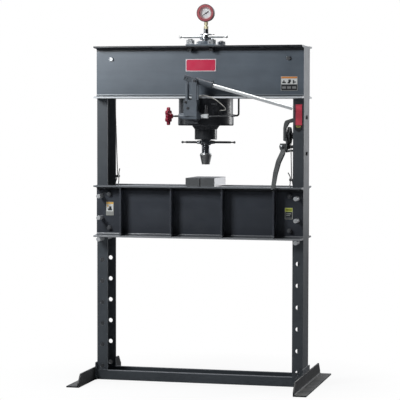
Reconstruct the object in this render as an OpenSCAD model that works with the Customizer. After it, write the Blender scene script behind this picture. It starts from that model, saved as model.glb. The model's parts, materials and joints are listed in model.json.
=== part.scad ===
// Manual hydraulic H-frame shop press, standing on the floor.
// +Z is up, +X is the press's right side and -Y is its front. Millimetres.
// The origin is on the floor, midway between the columns and midway front to back.

/* [Frame] */
// Width outside the two column webs
overall_w = 1245; // [1100:5:1500]
// Height of the top of the head above the floor
frame_h = 1980; // [1900:5:2400]
// Depth of the column channels, front to back
column_depth = 178; // [170:1:220]
// Width of the column flanges
column_flange = 64; // [60:1:80]
// Thickness of the column web
column_web_t = 9; // [6:0.5:12]
// Thickness of the column flanges
column_flange_t = 10; // [8:0.5:14]
// Height of the base channel that the columns stand on
tie_h = 58; // [50:1:80]
// Thickness of the base channel's plate
tie_t = 9; // [6:0.5:12]
// Leg of the foot angles
foot_leg = 76; // [60:1:100]
// Thickness of the foot angles
foot_t = 8; // [6:0.5:12]
// Length of the feet, front to back
foot_len = 864; // [760:2:1100]
// Height of the welded plate at the bottom of each column
foot_plate_h = 104; // [90:1:160]

/* [Head and bed channels] */
// Height of the four beam channels
beam_h = 305; // [280:1:330]
// Width of their flanges
beam_flange = 76; // [70:1:90]
// Thickness of their webs
beam_web_t = 8; // [6:0.5:12]
// Thickness of their flanges at the toe
beam_toe_t = 9; // [7:0.5:12]

/* [Height adjustment] */
// Vertical distance between pin holes
hole_pitch = 127; // [110:1:140]
// Height of the top pin hole
top_hole_z = 1098; // [1090:1:1200]
// Diameter of the bed pins
pin_d = 25; // [20:0.5:28]
// Length of the bed pins
pin_len = 346; // [340:2:420]

/* [Workhead] */
// Distance of the ram axis from the middle of the press
ram_x = 20; // [-60:1:60]
// Radius of the oil reservoir
reservoir_r = 160; // [150:1:180]
// Radius of the ram
ram_r = 40; // [36:0.5:44]
// Radius of the adjusting screw
screw_r = 24; // [18:0.2:27]
// Length of the loose bar through the screw's hub, over its balls
lower_bar_len = 329; // [260:1:360]
// Length of the loose bar through the clamp hub, over its balls
top_bar_len = 297; // [240:1:320]
// Radius of the pressure gauge
gauge_r = 52; // [40:1:60]
// Height of the gauge's centre above the head
gauge_rise = 196; // [185:1:240]

/* [Hand pump] */
// Radius of the pump handle tube
handle_r = 11; // [9:0.5:13]
// Reach of the pump handle from its fulcrum
handle_reach = 588; // [400:4:640]
// Angle of the handle below the horizontal at rest
handle_drop = 15.7; // [10:0.1:20]
// Radius of the pump plunger
plunger_r = 11; // [9:0.5:12]
// Radius of the release valve's handwheel over its lobes
wheel_r = 53; // [45:1:60]

/* [Bed hoist] */
// Teeth on the drum gear
gear_teeth = 40; // [36:1:42]
// Teeth on the pinion
pinion_teeth = 11; // [11:1:14]
// Module of the gear teeth
gear_module = 2.5; // [2.3:0.1:2.7]
// Radius of the hoist rope
rope_r = 3; // [2:0.5:4]
// Radius of the sheaves at the rope's centre line
sheave_r = 20; // [18:1:24]

/* [Press blocks] */
// Width of each loose block
block_w = 84; // [60:1:100]
// Height of each loose block
block_h = 49; // [30:1:60]
// Length of each loose block
block_len = 290; // [200:2:320]
// Gap between the two blocks
block_gap = 5; // [2:1:20]

/* [Hidden] */
$fn = 64;

charcoal = [0.16, 0.17, 0.18];
steel = [0.62, 0.63, 0.65];
chrome = [0.82, 0.83, 0.85];
iron_grey = [0.33, 0.36, 0.39];
signal_red = [0.66, 0.1, 0.16];

overlap = 1;       // how far a cutter or a joined part reaches past a face
running = 0.06;    // radial clearance of a turning or sliding fit
seat = 0.3;        // gap between curved faces that rest against each other

// Frame levels and faces
half_w = overall_w / 2;
half_d = column_depth / 2;
beam_root_t = beam_toe_t + 5;
beam_root_r = 10;
column_root_r = 8;
head_z = frame_h - beam_h;
hole_rows = 9;
hole_x = half_w - column_flange / 2;
hole_r = pin_d / 2 + 0.4;
foot_plate_t = 6;
foot_plate_w = column_depth + 48;
foot_bevel = 45;

// Bed: it rests on the third row of pins, with the first two rows through its webs
bed_slack = 1;                             // gap between the bed channels and the columns
pin_seat = 0.5;
bed_z = top_hole_z - 2 * hole_pitch + pin_d / 2 + pin_seat;
bed_top = bed_z + beam_h;
bed_y = half_d + bed_slack;
rib_t = 9;
rib_pitch = 306;
rib_depth = beam_flange - 6;
tie_bolt_r = 8;
tie_washer_r = 15;
tie_nut_af = 24;
tie_nut_h = 13;
spacer_r = 14.5;
tie_bolt_x = half_w - column_flange - spacer_r - 1;
tie_bolt_rise = [52, 253];

// Workhead levels, from the underside of the head downwards
flange_r = reservoir_r + 4;
step_z = head_z - 109;                     // top of the reservoir's thick lower ring
ring_z = step_z - 50;                      // underside of the reservoir
ring_corner = 8;
lid_t = 25;
wall_t = 10;
barrel_r = 78;                             // cylinder where it passes through the reservoir
neck_r = 66;                               // cylinder below the reservoir
shoulder_r = 82;                           // and where its cone meets the reservoir
cone_h = 22;
cylinder_z = ring_z - 82;
cylinder_top = head_z + 50;
bore_r = ram_r + 8;
gland_t = 26;
gland_r = neck_r - 14;
cap_t = 24;                                // thickness of the cylinder's upper end
bolt_r = 12.7;
bolt_dx = 64;
bolt_dy = half_d + 34;
bolt_head_af = 34;
bolt_head_h = 14;
washer_h = 8;
washer_w = 16;                             // half the width of the bolts' taper washers
plate_t = 8;
plate_w = 2 * bolt_dx + 46;
plate_d = 2 * bolt_dy + 46;
plate_boss_r = 46;
plate_boss_top = frame_h + 32;
nut_af = 42;
nut_h = 26;

// Ram and adjusting screw at rest
piston_z = cylinder_z + 166;
piston_h = 40;
ram_end = cylinder_z + 2;
hub_h = 30;
hub_r = 33;
hub_z = cylinder_z - 1 - hub_h;
hub_arm = 54;                              // reach of the hub's two side bosses
bar_z = hub_z + hub_h / 2;
bar_r = 6.5;
nose_top = hub_z - 50;
nose_h = 66;
nose_r = 35.5;
nose_tip_r = 23;
spigot_r = 12;
spigot_len = 26;

// Clamp hub and gauge above the head
stem_r = 14;
stem_collar_r = 23;
stem_top = frame_h + 105;
gauge_z = frame_h + gauge_rise;
top_hub_r = 37;
top_hub_z = plate_boss_top + 8;
top_hub_h = 34;
top_bar_y = -24;
top_bar_z = top_hub_z + top_hub_h / 2;
top_bar_r = 8;
top_bar_shift = -10;                       // how far each loose bar has slid off its middle
lower_bar_shift = 15.5;
case_depth = 34;
case_t = 3;
bezel_w = 15;
needle_rest = -122;                        // needle at zero, from straight up

// Hand pump, in front of the head's flange toes
pump_y = -half_d - beam_flange - 40;
pump_front = pump_y - 30;
pump_left = -56;
pump_right = 21;
pump_z = ring_z + 11;
pump_top = head_z - 11;
fulcrum = [9, head_z + 99];
block_back = reservoir_r - 25;             // inside the reservoir's curve, which cuts the block off
valve_boss = 37;                           // reach of the release valve's cone past the block
boss_r = 35;
ear_w = 28;
ear_x = fulcrum[0] - 16;                   // left side of the fork's ears
pump_screws = [[-44, pump_top - 12], [-32, pump_top - 47]];
plunger_x = -41;
link_z = fulcrum[1] + (fulcrum[0] - plunger_x) * tan(handle_drop);
link_pin_r = 5;
link_slack = 1.8;                          // room for the plunger's pin each way in the lever's slots
slot_back = 11.5;
slot_front = 8.5;
lever_w = 40;
tongue_w = 16;
tongue_h = 30;
socket_r = 18;
socket_len = 102;
handle_seat = 24;                          // depth of the socket's end from the fulcrum
handle_rise = 2;
fulcrum_pin_r = 8;
ear_t = 11;
valve_z = ring_z + 55;
valve_y = pump_y + 5;
valve_stem_r = 5;
wheel_x = -155;
lobe_r = 12;

// Bed hoist on the inner side of the right column
winch_z = head_z - 217;
winch_strap = 36;
strap_t = 8;
winch_web_x = half_w - column_web_t;       // inner face of the right column's web
winch_left = winch_web_x - 126;
winch_bolt_z = [winch_z + 107, winch_z - 103];
winch_bolt_r = 6.3;
winch_foot_x = winch_left + 15;            // the outer upright is set back below the gear
gear_x = winch_foot_x + strap_t + 3;
gear_t = 10;
gear_distance = gear_module * (gear_teeth + pinion_teeth) / 2;
pinion_z = winch_z - gear_distance;
drum_r = 19;
drum_len = 76;
drum_flange_r = 46;
drum_shaft_r = 8;
pinion_shaft_r = 9;
sheave_z = frame_h - 75;
sheave_x = half_w - 90.5;
sheave_t = 12;
sheave_pin_r = 8;
sheave_spacer_r = 12;
rope_reach = drum_r + rope_r + seat;
rope_y = -rope_reach;                      // one rope leaves the drum at its front, the other at its back
drop_drum_x = half_w - 89.5;
clip_h = 14;

function row_z(i) = top_hole_z - i * hole_pitch;

// ---- shared shapes ----

// Rolled channel: web along +Y from the origin, flanges along +X with tapered inner faces
module channel_2d(h, b, web, toe, root, r) {
    slope = (root - toe) / (b - web);
    a = atan(slope);
    c = [web + r, root - slope * r + r / cos(a)];
    polygon([[0, 0], [b, 0], [b, toe], [web, root], [web, h - root], [b, h - toe], [b, h], [0, h]]);
    for (flip = [0, 1]) translate([0, flip * h]) mirror([0, flip]) difference() {
        polygon([[web - overlap, root - overlap], [web, root - overlap],
            [c[0] - r * sin(a), c[1] - r * cos(a)],
            c, [web - overlap, c[1]]]);
        translate(c) circle(r);
    }
}

module beam_2d() channel_2d(beam_h, beam_flange, beam_web_t, beam_toe_t, beam_root_t, beam_root_r);

// Lays a drawing's X along +Y and its Y along +Z, and extrudes it along +X
module along_x(len) rotate([90, 0, 90]) linear_extrude(len) children();

// Round bar along an axis, starting at the origin
module bar_x(r, len) rotate([0, 90, 0]) cylinder(r = r, h = len);
module bar_y(r, len) rotate([-90, 0, 0]) cylinder(r = r, h = len);

module hex(af, h) cylinder(r = af / sqrt(3), h = h, $fn = 6);

// Straight round bar between two points
module bar_between(a, b, r) {
    d = b - a;
    translate(a) rotate([0, acos(d[2] / norm(d)), atan2(d[1], d[0])]) cylinder(r = r, h = norm(d));
}

// Bent tube: one ring of points square to the route at every route point
function unit(v) = v / norm(v);
function route_dir(p, i) = unit(p[min(i + 1, len(p) - 1)] - p[max(i - 1, 0)]);
function ring_at(p, i, r, sides, side) =
    let (t = route_dir(p, i), n = unit(cross(side, t)), b = cross(t, n))
    [for (k = [0 : sides - 1]) p[i] + r * (cos(360 * k / sides) * n + sin(360 * k / sides) * b)];
module bent_tube(p, r, side = [0, 0, 1], sides = 8) {
    n = len(p);
    rings = [for (i = [0 : n - 1]) each ring_at(p, i, r, sides, side)];
    skin = [for (i = [0 : n - 2], k = [0 : sides - 1], half = [0, 1])
        let (a = i * sides + k, b = i * sides + (k + 1) % sides)
        half == 0 ? [a, b + sides, b] : [a, a + sides, b + sides]];
    polyhedron(rings, concat([[for (k = [0 : sides - 1]) k]], skin,
        [[for (k = [sides - 1 : -1 : 0]) (n - 1) * sides + k]]));
}

// Bar with a ball on a thinner neck at each end, along +X and centred on the origin
module ball_bar(len, r) {
    ball_r = r + 0.8;
    grip = len - 2 * ball_r - 44;
    translate([-grip / 2, 0, 0]) bar_x(r, grip);
    translate([-len / 2 + ball_r, 0, 0]) bar_x(r - 2.5, len - 2 * ball_r);
    for (s = [-1, 1]) translate([s * (len / 2 - ball_r), 0, 0]) sphere(r = ball_r, $fn = 32);
}

// Spur gear with its axis along +Z: straight-sided teeth with a stub height
module gear_2d(teeth, phase) {
    pitch_r = gear_module * teeth / 2;
    tip_r = pitch_r + 0.8 * gear_module;
    root_r = pitch_r - 1.05 * gear_module;
    tooth = 180 / teeth;                   // half the angular pitch
    outline = [[root_r, -0.74], [pitch_r, -0.43], [tip_r, -0.17], [tip_r, 0.17], [pitch_r, 0.43],
        [root_r, 0.74]];
    points = [for (i = [0 : teeth - 1], c = outline) let (a = phase + (2 * i + c[1]) * tooth)
        c[0] * [cos(a), sin(a)]];
    polygon(points);
}

// ---- frame ----

module column() {
    difference() {
        union() {
            translate([-half_w, -half_d, tie_h]) linear_extrude(frame_h - tie_h - 2)
                channel_2d(column_depth, column_flange, column_web_t, column_flange_t,
                    column_flange_t + 1, column_root_r);
            translate([-half_w - foot_plate_t, -foot_plate_w / 2, 0])
                cube([foot_plate_t, foot_plate_w, foot_plate_h]);
        }
        for (i = [0 : hole_rows - 1]) translate([-hole_x, -half_d - overlap, row_z(i)])
            bar_y(hole_r, column_depth + 2 * overlap);
    }
}

module left_column() color(charcoal) column();

module right_column() color(charcoal) difference() {
    mirror([1, 0, 0]) column();
    for (z = winch_bolt_z) translate([winch_web_x - overlap, 0, z])
        bar_x(winch_bolt_r + 0.1, column_web_t + 2 * overlap);
}

// Head channel at the rear, with its web against the columns and its flanges outwards
module head_channel() {
    difference() {
        translate([-half_w, half_d, head_z]) along_x(overall_w) beam_2d();
        for (s = [-1, 1]) translate([s * sheave_x, half_d - overlap, sheave_z])
            bar_y(sheave_pin_r + 0.2, beam_web_t + 2 * overlap);
        for (s = [-1, 1]) translate([ram_x + s * bolt_dx, bolt_dy, frame_h - 30])
            cylinder(r = bolt_r + 0.8, h = 40);
    }
}
module rear_head_channel() color(charcoal) head_channel();
module front_head_channel() color(charcoal) mirror([0, 1, 0]) head_channel();

// Base channel lying on its web, with the columns standing on its two flanges
module base_tie() color(charcoal)
    translate([half_w, -half_d, 0]) rotate([0, -90, 0]) linear_extrude(overall_w)
        channel_2d(column_depth, tie_h, tie_t, tie_t, tie_t + 1, column_root_r);

module foot() {
    x = half_w + foot_plate_t;
    intersection() {
        translate([x, foot_len / 2, 0]) rotate([90, 0, 0]) linear_extrude(foot_len) {
            square([foot_leg, foot_t]);
            square([foot_t, foot_leg]);
            translate([foot_t, foot_t]) difference() {
                translate([-overlap, -overlap]) square(8 + overlap);
                translate([8, 8]) circle(8);
            }
        }
        translate([x - overlap, 0, 0]) along_x(foot_leg + 2 * overlap) polygon([
            [-foot_len / 2, 0], [foot_len / 2, 0], [foot_len / 2, foot_leg / 3],
            [foot_len / 2 - foot_bevel, foot_leg], [-foot_len / 2 + foot_bevel, foot_leg],
            [-foot_len / 2, foot_leg / 3]]);
    }
}
module right_foot() color(charcoal) foot();
module left_foot() color(charcoal) mirror([1, 0, 0]) foot();

// ---- workhead ----

module at_bolts(z) for (sx = [-1, 1], sy = [0, 1]) mirror([0, sy, 0])
    translate([ram_x + sx * bolt_dx, -bolt_dy, z]) children();

module top_plate() color(charcoal) difference() {
    union() {
        translate([ram_x - plate_w / 2, -plate_d / 2, frame_h]) cube([plate_w, plate_d, plate_t]);
        translate([ram_x, 0, frame_h + plate_t / 2])
            cylinder(r = plate_boss_r, h = plate_boss_top - frame_h - plate_t / 2);
    }
    translate([ram_x, 0, frame_h - overlap]) cylinder(r = stem_r + 0.5, h = 60);
    at_bolts(frame_h - overlap) cylinder(r = bolt_r + 0.8, h = plate_t + 2 * overlap);
}

// Bolts through the head's upper flanges, each with a taper washer and its head under the flange
flange_slope = (beam_root_t - beam_toe_t) / (beam_flange - beam_web_t);
function flange_under(y) = frame_h - beam_toe_t - (half_d + beam_flange - y) * flange_slope;
module plate_bolts() color(steel) at_bolts(0) {
    z = flange_under(bolt_dy + washer_w) - washer_h;
    translate([0, 0, z - bolt_head_h])
        cylinder(r = bolt_r, h = frame_h + plate_t + nut_h + 5 - z + bolt_head_h);
    translate([0, 0, z - bolt_head_h]) hex(bolt_head_af, bolt_head_h + 0.5);
    translate([-washer_w, bolt_dy, 0]) along_x(2 * washer_w) polygon([[-bolt_dy - washer_w, z],
        [-bolt_dy + washer_w - 1, z],
        [-bolt_dy + washer_w - 1, flange_under(bolt_dy - washer_w + 1) - 0.05],
        [-bolt_dy - washer_w, z + washer_h - 0.05]]);
}

module plate_nuts() color(chrome) at_bolts(frame_h + plate_t) difference() {
    hex(nut_af, nut_h);
    translate([0, 0, -overlap]) cylinder(r = bolt_r + 0.05, h = nut_h + 2 * overlap);
}

// Hollow cast ring around the cylinder: it holds the oil, and the head sits on its lid
module reservoir() color(charcoal) translate([ram_x, 0, 0]) rotate_extrude() difference() {
    union() {
        translate([0, step_z - overlap]) square([reservoir_r, head_z - step_z + overlap]);
        translate([0, ring_z]) square([flange_r - ring_corner, step_z - ring_z]);
        translate([0, ring_z + ring_corner]) square([flange_r, step_z - ring_z - ring_corner]);
        translate([flange_r - ring_corner, ring_z + ring_corner]) circle(ring_corner);
    }
    translate([-overlap, ring_z - overlap])
        square([barrel_r + seat + overlap, head_z - ring_z + 2 * overlap]);
    translate([0, ring_z + 16]) square([reservoir_r - wall_t, head_z - lid_t - ring_z - 16]);
}

module press_cylinder() color(charcoal) translate([ram_x, 0, 0]) rotate_extrude() difference() {
    polygon([[0, cylinder_z], [neck_r - 2, cylinder_z], [neck_r, cylinder_z + 2],
        [neck_r, ring_z - cone_h],
        [shoulder_r, ring_z], [barrel_r, ring_z], [barrel_r, cylinder_top], [0, cylinder_top]]);
    translate([-overlap, cylinder_z - overlap]) square([gland_r + overlap, gland_t + overlap]);
    translate([-overlap, cylinder_z + gland_t - overlap])
        square([bore_r + overlap, cylinder_top - cylinder_z - gland_t - cap_t]);
    translate([-overlap, cylinder_top - cap_t - 2 * overlap]) square([stem_r + 0.05 + overlap, 30]);
}

module gland_bush() color([0.72, 0.56, 0.3]) translate([ram_x, 0, cylinder_z]) rotate_extrude()
    translate([ram_r + running, 0]) square([gland_r - ram_r - running, gland_t]);

module ram() color(steel) translate([ram_x, 0, 0]) rotate_extrude() difference() {
    union() {
        translate([0, ram_end]) square([ram_r, piston_z - ram_end + overlap]);
        translate([0, piston_z]) square([bore_r - running, piston_h]);
    }
    translate([-overlap, ram_end - overlap]) square([screw_r + running + overlap, piston_z - ram_end]);
}

// Coil around the ram, between the gland bush and the piston
spring_turns = 5;
spring_wire_r = 2.8;
spring_low = cylinder_z + gland_t + spring_wire_r + seat;
spring_high = piston_z - spring_wire_r - seat;
module return_spring() color(steel) bent_tube([for (i = [0 : 16 * spring_turns])
    [ram_x + (ram_r + 4) * cos(22.5 * i), (ram_r + 4) * sin(22.5 * i),
        spring_low + (spring_high - spring_low) * i / (16 * spring_turns)]], spring_wire_r);

module adjusting_screw() color(chrome) difference() {
    union() {
        for (side = [0, 1]) translate([ram_x, 0, bar_z]) mirror([side, 0, 0]) rotate([0, 90, 0])
            cylinder(r1 = hub_h / 2 - 0.5, r2 = bar_r + 2.5, h = hub_arm);
        translate([ram_x, 0, 0]) rotate_extrude() polygon([[0, nose_top - spigot_len],
            [spigot_r, nose_top - spigot_len], [spigot_r, nose_top], [screw_r, nose_top],
            [screw_r, hub_z - 4],
            [hub_r - 4, hub_z], [hub_r, hub_z + 4], [hub_r, hub_z + hub_h - 4], [hub_r - 4, hub_z + hub_h],
            [screw_r, hub_z + hub_h], [screw_r, piston_z - 20], [0, piston_z - 20]]);
    }
    translate([ram_x - 60, 0, bar_z]) bar_x(bar_r + running, 120);
}

module ram_nose() color([0.3, 0.3, 0.3]) translate([ram_x, 0, 0]) rotate_extrude() difference() {
    polygon([[0, nose_top - nose_h], [nose_tip_r, nose_top - nose_h], [nose_r, nose_top - 8],
        [nose_r - 4, nose_top],
        [0, nose_top]]);
    translate([-overlap, nose_top - spigot_len - 1])
        square([spigot_r + running + overlap, spigot_len + 2]);
}

module lower_bar() color(steel) translate([ram_x + lower_bar_shift, 0, bar_z])
    ball_bar(lower_bar_len, bar_r);

module top_hub() color(chrome) difference() {
    translate([ram_x, 0, 0]) rotate_extrude() difference() {
        polygon([[0, top_hub_z], [top_hub_r - 5, top_hub_z], [top_hub_r, top_hub_z + 5],
            [top_hub_r, top_hub_z + top_hub_h - 5], [top_hub_r - 5, top_hub_z + top_hub_h],
            [0, top_hub_z + top_hub_h]]);
        translate([-overlap, top_hub_z - overlap])
            square([stem_r + running + overlap, top_hub_h + 2 * overlap]);
    }
    translate([ram_x - 60, top_bar_y, top_bar_z]) bar_x(top_bar_r + running, 120);
}

module top_bar() color(steel) translate([ram_x + top_bar_shift, top_bar_y, top_bar_z])
    ball_bar(top_bar_len, top_bar_r);

// ---- gauge ----

module gauge_stem() color(steel) difference() {
    union() {
        translate([ram_x, 0, cylinder_top - 20]) cylinder(r = stem_r, h = stem_top - cylinder_top + 20);
        translate([ram_x, 0, plate_boss_top])
            cylinder(r = stem_collar_r, h = top_hub_z - plate_boss_top - 0.2);
    }
    translate([ram_x, 0, cylinder_top - 30]) cylinder(r = 4, h = 500);
}

module gauge_neck() color([0.74, 0.62, 0.36]) translate([ram_x, 0, 0]) {
    translate([0, 0, stem_top]) hex(24, 14);
    translate([0, 0, stem_top + 13]) cylinder(r = 8, h = 8);
    translate([0, 0, stem_top + 20]) hex(20, gauge_z - gauge_r - stem_top - 20 + 3);
}

module gauge_ring(outer, inner, y, depth) translate([ram_x, y, gauge_z]) rotate([-90, 0, 0]) difference() {
    cylinder(r = outer, h = depth);
    translate([0, 0, -overlap]) cylinder(r = inner, h = depth + 2 * overlap);
}

module gauge_case() color(charcoal) difference() {
    translate([ram_x, -case_depth / 2, gauge_z]) bar_y(gauge_r - case_t, case_depth);
    translate([ram_x, -case_depth / 2 - overlap, gauge_z])
        bar_y(gauge_r - 2 * case_t, case_depth - 5 + overlap);
    translate([ram_x, 0, gauge_z - gauge_r - 20]) hex(20.2, 23.2);
}

module gauge_bezel() color(signal_red) {
    gauge_ring(gauge_r, gauge_r - case_t + 0.05, -case_depth / 2 - 2, 8);
    gauge_ring(gauge_r, gauge_r - bezel_w, -case_depth / 2 - 6, 4);
}

module gauge_dial() color("white") translate([ram_x, 0, gauge_z]) difference() {
    translate([0, case_depth / 2 - 15, 0]) bar_y(gauge_r - 2 * case_t - 0.1, 2);
    translate([0, -case_depth / 2, 0]) bar_y(2.2, case_depth);
}

module gauge_needle() color("black") translate([ram_x, 0, gauge_z]) {
    translate([0, case_depth / 2 - 21, 0]) bar_y(2.1, 10);
    translate([0, case_depth / 2 - 21, 0]) bar_y(4.5, 2.5);
    rotate([0, needle_rest, 0]) translate([0, case_depth / 2 - 19, 0]) rotate([90, 0, 0]) linear_extrude(1)
        polygon([[-3, -gauge_r / 3], [3, -gauge_r / 3], [0.8, gauge_r - 20], [-0.8, gauge_r - 20]]);
}

module gauge_lens() color([0.9, 0.95, 1, 0.35]) translate([ram_x, -case_depth / 2 - 1.9, gauge_z])
    bar_y(gauge_r - 2 * case_t - 0.1, 1.8);

// ---- plates ----

label_t = 1.5;
name_plate_size = [182, 72];
head_label_size = [97, 82];
left_label_size = [46, 80];
right_label_size = [46, 66];
module plate_xz(cx, cz, size, y, t = label_t)
    translate([cx - size[0] / 2, y, cz - size[1] / 2]) cube([size[0], t, size[1]]);

head_face = -half_d - beam_web_t;          // front face of the head channel's web
bed_face = -bed_y - beam_web_t;            // front face of the bed channel's web
module name_plate() color(signal_red) plate_xz(13, frame_h - 112, name_plate_size, head_face - 2, 2);
module head_label() color("orange")
    plate_xz(half_w - 85.5, head_z + 85, head_label_size, head_face - label_t);
module bed_labels() {
    color("gold") plate_xz(-half_w + 81.5, bed_top - 139, left_label_size, bed_face - label_t);
    color("yellowgreen") plate_xz(half_w - 84.5, bed_top - 152, right_label_size, bed_face - label_t);
}
tag_w = 42;
module red_tag() color(signal_red) translate([hole_x, -half_d, 0]) rotate([90, 0, 0]) linear_extrude(3) {
    translate([-tag_w / 2, head_z - 171]) square([tag_w, 136]);
    translate([0, head_z - 171]) circle(tag_w / 2);
}

// ---- hand pump ----

// Everything cast in one with the pump: block, valve boss, outlet boss and the fork of the fulcrum
module pump_body() color(iron_grey) difference() {
    union() {
        translate([pump_left, pump_front, valve_z])
            cube([pump_right - pump_left, -pump_front - block_back, pump_top - valve_z]);
        translate([pump_left, valve_y, pump_z])
            cube([pump_right - pump_left, -valve_y - block_back, valve_z - pump_z + overlap]);
        translate([pump_left - valve_boss, valve_y, valve_z]) rotate([0, 90, 0])
            cylinder(r1 = 14, r2 = boss_r, h = pump_right - pump_left + valve_boss);
        translate([pump_right, valve_y, valve_z]) rotate([0, 90, 0])
            cylinder(r1 = boss_r, r2 = 20, h = 12);
        translate([pump_right + 11, valve_y, valve_z]) bar_x(15, 9);
        for (y = [pump_y - lever_w / 2 - 1 - ear_t, pump_y + lever_w / 2 + 1]) {
            translate([ear_x, y, pump_top - overlap])
                cube([ear_w, ear_t, fulcrum[1] - pump_top + overlap]);
            translate([ear_x + ear_w / 2, y, fulcrum[1]]) bar_y(ear_w / 2, ear_t);
        }
        translate([ear_x, pump_front - 1, pump_top - 7])
            cube([ear_w, 2 * ear_t + lever_w + 2, 7]);
        translate([plunger_x, pump_y, pump_top - overlap]) cylinder(r = 14, h = 5);
    }
    translate([ram_x, 0, 0]) {
        translate([0, 0, ring_z - overlap])
            cylinder(r = flange_r + seat, h = step_z - ring_z + overlap + 0.5, $fn = 128);
        translate([0, 0, step_z]) cylinder(r = reservoir_r + seat, h = head_z - step_z, $fn = 128);
    }
    translate([plunger_x, pump_y, pump_top - 78]) cylinder(r = plunger_r + running, h = 120);
    translate([pump_left - valve_boss - overlap, valve_y, valve_z])
        bar_x(valve_stem_r + running, valve_boss + 10);
    translate([fulcrum[0], pump_y - 50, fulcrum[1]]) bar_y(fulcrum_pin_r + 0.05, 100);
    for (p = pump_screws) translate([p[0], pump_front - overlap, p[1]]) bar_y(5.1, 19);
}

module fulcrum_pin() color(steel) translate([fulcrum[0], pump_y - lever_w / 2 - ear_t - 5, fulcrum[1]])
    bar_y(fulcrum_pin_r, lever_w + 2 * ear_t + 10);

module pump_plunger() color(steel) {
    translate([plunger_x, pump_y, pump_top - 24])
        cylinder(r = plunger_r, h = link_z - tongue_h - pump_top + 24);
    translate([plunger_x - 8, pump_y - tongue_w / 2 + 1, link_z - tongue_h - 5])
        cube([16, tongue_w - 2, tongue_h + 5]);
    translate([plunger_x, pump_y - tongue_w / 2 + 1, link_z]) bar_y(8, tongue_w - 2);
    translate([plunger_x, pump_y - lever_w / 2 + 2, link_z]) bar_y(link_pin_r, lever_w - 4);
}

// Lever in its own frame: fulcrum at the origin, handle along +X
module pump_lever() color(iron_grey) translate([fulcrum[0], pump_y, fulcrum[1]])
    rotate([0, handle_drop, 0]) {
    arm = (fulcrum[0] - plunger_x) / cos(handle_drop);
    difference() {
        union() {
            translate([-arm - slot_back - 5, -lever_w / 2, -14]) cube([arm + slot_back + 19, lever_w, 29]);
            translate([0, -lever_w / 2, 0]) bar_y(17, lever_w);
            translate([0, 0, handle_rise]) bar_x(socket_r, socket_len);
            translate([socket_len - 6, 0, handle_rise]) bar_x(socket_r + 3, 8);
            translate([socket_len - 12, -9, 10]) cube([13, 18, 20]);
        }
        translate([-arm - 26, -tongue_w / 2, -30]) cube([44, tongue_w, 60]);
        translate([-arm - slot_back, -lever_w / 2 - overlap, -link_pin_r - link_slack])
            cube([slot_back + slot_front, lever_w + 2 * overlap, 2 * (link_pin_r + link_slack)]);
        translate([0, -lever_w / 2 - overlap, 0]) bar_y(fulcrum_pin_r + running, lever_w + 2 * overlap);
        translate([handle_seat, 0, handle_rise]) bar_x(handle_r + 0.05, socket_len);
        translate([socket_len - 5.5, 0, 14]) cylinder(r = 3, h = 30);
    }
}

module pump_handle() color(chrome) translate([fulcrum[0], pump_y, fulcrum[1]]) rotate([0, handle_drop, 0])
    translate([handle_seat + 0.2, 0, handle_rise]) difference() {
        bar_x(handle_r, handle_reach - handle_seat);
        translate([10, 0, 0]) bar_x(handle_r - 2.5, handle_reach);
    }

// Release valve: lobed handwheel on a stem along X
module valve_wheel() color(signal_red) translate([wheel_x - 8, valve_y, valve_z]) rotate([90, 0, 90])
    difference() {
    union() {
        linear_extrude(16) {
            circle(wheel_r - lobe_r - 3);
            for (i = [0 : 5]) rotate(60 * i + 90) translate([wheel_r - lobe_r - 1, 0]) circle(lobe_r);
        }
        translate([0, 0, 14]) cylinder(r1 = 22, r2 = 12, h = 20);
    }
    translate([0, 0, -overlap]) cylinder(r = valve_stem_r + 0.05, h = 40);
}

module valve_stem() color(charcoal) translate([wheel_x - 7, valve_y, valve_z]) {
    bar_x(valve_stem_r, pump_left - wheel_x + 13);
    translate([-4, 0, 0]) rotate([0, 90, 0]) hex(14, 3);
}

// ---- tubes ----

tube_y = valve_y;
tube_z = step_z + 9;
port_x = ram_x + reservoir_r;
gauge_tube_r = 5.5;
riser_x = port_x + 38;
riser_y = 0;
riser_bend = 13;
outlet_x = pump_right + 20;
block_x = outlet_x + 16;
cap_port_z = head_z + 28;

module tube_fittings() color(chrome) {
    translate([outlet_x, tube_y, valve_z]) rotate([0, 90, 0]) {
        hex(21, 12);
        translate([0, 0, 11]) cylinder(r = 8, h = 6);
        translate([-12, -12, 16]) cube([24, 24, 24]);
    }
    translate([port_x + seat, riser_y, tube_z]) rotate([0, 90, 0]) hex(14, 15);
    translate([ram_x + barrel_r + seat, riser_y, cap_port_z]) rotate([0, 90, 0]) hex(18, 16);
}

// Check valve screwed into the top of the outlet block
module check_valve() color(charcoal) translate([block_x + 12, tube_y, valve_z + 12]) {
    hex(21, 26);
    translate([0, 0, 25]) cylinder(r = 7.5, h = 22);
    translate([0, 0, 46]) hex(12, 7);
}

// Thin tube around the reservoir, from the pump's outlet to the fitting on the right side
tube_start = [block_x + 38, tube_y, valve_z];
tube_r0 = norm([tube_start[0] - ram_x, tube_y]);
tube_a0 = atan2(tube_y, tube_start[0] - ram_x);
tube_r1 = reservoir_r + 9;
tube_a1 = -2.6;
pressure_route = concat([tube_start - [13.6, 0, 0]], [for (i = [0 : 9])
    let (t = i / 9, r = tube_r1 + (tube_r0 - tube_r1) * pow(1 - t, 1.6),
        a = tube_a0 + (tube_a1 - tube_a0) * t)
    [ram_x + r * cos(a), r * sin(a), valve_z + (tube_z - valve_z) * t]]);
module pressure_tube() color(steel) bent_tube(pressure_route, 3);

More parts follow.
